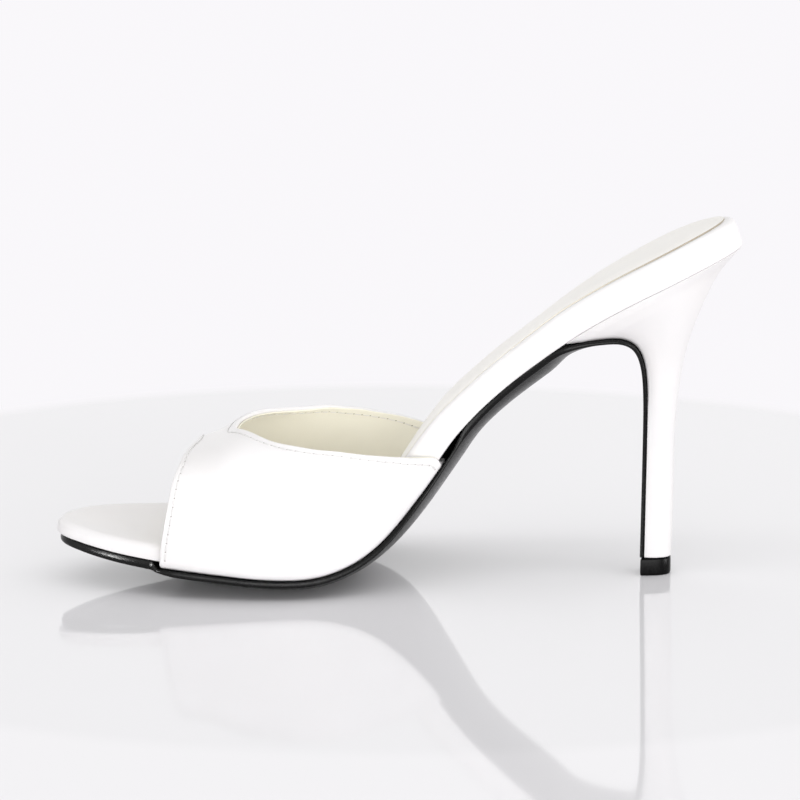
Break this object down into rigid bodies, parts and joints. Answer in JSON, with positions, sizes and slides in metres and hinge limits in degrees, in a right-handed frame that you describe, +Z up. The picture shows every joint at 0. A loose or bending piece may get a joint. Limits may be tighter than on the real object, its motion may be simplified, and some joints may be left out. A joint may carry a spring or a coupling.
{
  "type": "heeled slide sandal",
  "caption": "Open-toed slide sandal with a broad vamp, padded sock, thin outsole that runs down the heel breast, and a slim stiletto heel.",
  "frame": {"origin": "on the floor, under the middle of the whole shoe's bounding box", "axes": "toe towards -X, heel towards +X; medial (inner) side towards -Y, lateral side towards +Y; +Z up"},
  "size_m": [0.216, 0.0792, 0.1152],
  "materials": {
    "upper": "satin",
    "insole_board": "satin",
    "sock_liner": "matte",
    "outsole": "satin",
    "heel": "satin",
    "heel_tip": "satin"
  },
  "bodies": {
    "root": {"upper": "upper", "insole_board": "insole_board", "sock_liner": "sock_liner", "outsole": "outsole", "heel": "heel", "heel_tip": "heel_tip"}
  },
  "joints": []
}
